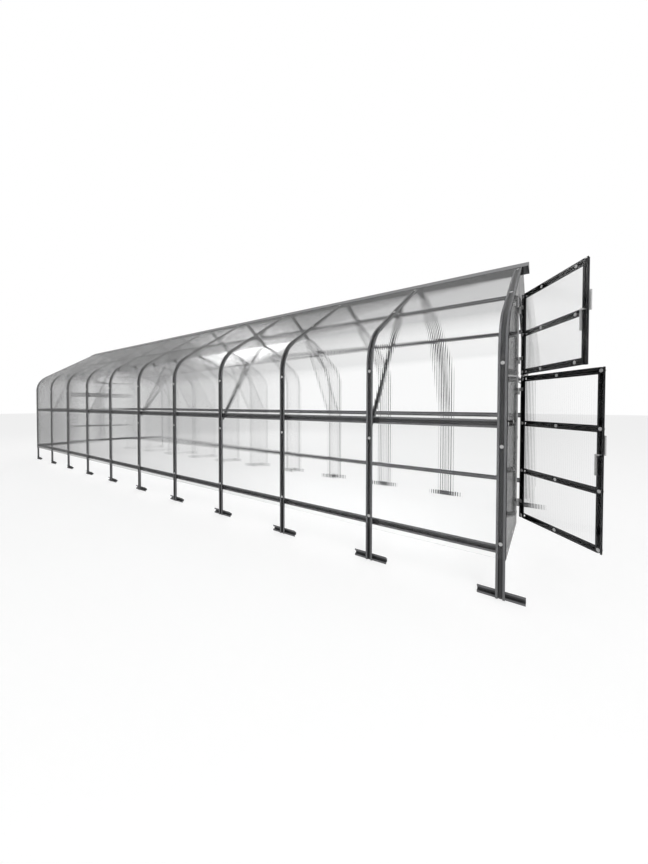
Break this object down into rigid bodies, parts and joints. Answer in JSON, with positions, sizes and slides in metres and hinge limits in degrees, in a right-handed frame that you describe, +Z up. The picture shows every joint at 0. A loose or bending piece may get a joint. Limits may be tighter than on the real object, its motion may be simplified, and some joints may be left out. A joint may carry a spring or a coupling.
{
  "type": "polycarbonate greenhouse",
  "caption": "Long greenhouse of hat-section steel arches on cross feet, with polycarbonate walls, rounded eaves and pitched roof, and a door and vent in each gable.",
  "frame": {"origin": "on the ground in the middle of the whole object, the open front door included", "axes": "+X to the right as seen from the front door, +Y along the house from the front door to the rear door, +Z up"},
  "size_m": [2.566, 10.7304, 2.7509],
  "materials": {
    "graphite_steel": "graphite grey coated steel, satin",
    "dark_frame": "near-black coated steel, satin",
    "polycarbonate": "clear fluted sheet, glossy",
    "zinc": "pale galvanised steel"
  },
  "bodies": {
    "house": {"left_legs": "graphite_steel", "right_legs": "graphite_steel", "left_arches": "graphite_steel", "right_arches": "graphite_steel", "left_feet": "graphite_steel", "right_feet": "graphite_steel", "left_bottom_rail": "graphite_steel", "left_mid_rail": "graphite_steel", "left_roof_purlin": "graphite_steel", "right_bottom_rail": "graphite_steel", "right_mid_rail": "graphite_steel", "right_roof_purlin": "graphite_steel", "left_knee_struts": "graphite_steel", "right_knee_struts": "graphite_steel", "ridge_cap": "graphite_steel", "left_wall_sheets": "polycarbonate", "left_eave_sheets": "polycarbonate", "left_roof_sheets": "polycarbonate", "right_wall_sheets": "polycarbonate", "right_eave_sheets": "polycarbonate", "right_roof_sheets": "polycarbonate", "left_washers": "zinc", "right_washers": "zinc", "front_door_posts": "graphite_steel", "front_gable_rails": "graphite_steel", "front_gable_sheets": "polycarbonate", "rear_door_posts": "graphite_steel", "rear_gable_rails": "graphite_steel", "rear_gable_sheets": "polycarbonate", "front_vent_frame": "dark_frame", "front_vent_panel": "polycarbonate", "front_vent_hinges": "zinc", "front_vent_latch": "zinc", "rear_vent_frame": "dark_frame", "rear_vent_panel": "polycarbonate", "rear_vent_hinges": "zinc", "rear_vent_latch": "zinc", "front_hinge_pins": "zinc", "rear_hinge_pins": "zinc"},
    "front_door": {"front_door_frame": "dark_frame", "front_door_panel": "polycarbonate", "front_door_hinges": "zinc"},
    "front_door_handle": {"front_door_latch": "zinc"},
    "rear_door": {"rear_door_frame": "dark_frame", "rear_door_panel": "polycarbonate", "rear_door_hinges": "zinc"},
    "rear_door_handle": {"rear_door_latch": "zinc"}
  },
  "joints": [
    {"name": "front_door_hinge", "type": "hinge", "parent": "house", "child": "front_door", "pos_m": [-0.39, -4.82479, 1], "axis": [0, 0, 1], "range_deg": [-27, 138]},
    {"name": "front_door_latch_turn", "type": "hinge", "parent": "front_door", "child": "front_door_handle", "pos_m": [-0.93268, -5.33697, 1.01], "axis": [0.6691, -0.7431, 0], "range_deg": [0, 90]},
    {"name": "rear_door_hinge", "type": "hinge", "parent": "house", "child": "rear_door", "pos_m": [-0.39, 5.25521, 1], "axis": [0, 0, 1], "range_deg": [0, 165]},
    {"name": "rear_door_latch_turn", "type": "hinge", "parent": "rear_door", "child": "rear_door_handle", "pos_m": [0.356, 5.23771, 1.01], "axis": [0, 1, 0], "range_deg": [0, 90]}
  ]
}
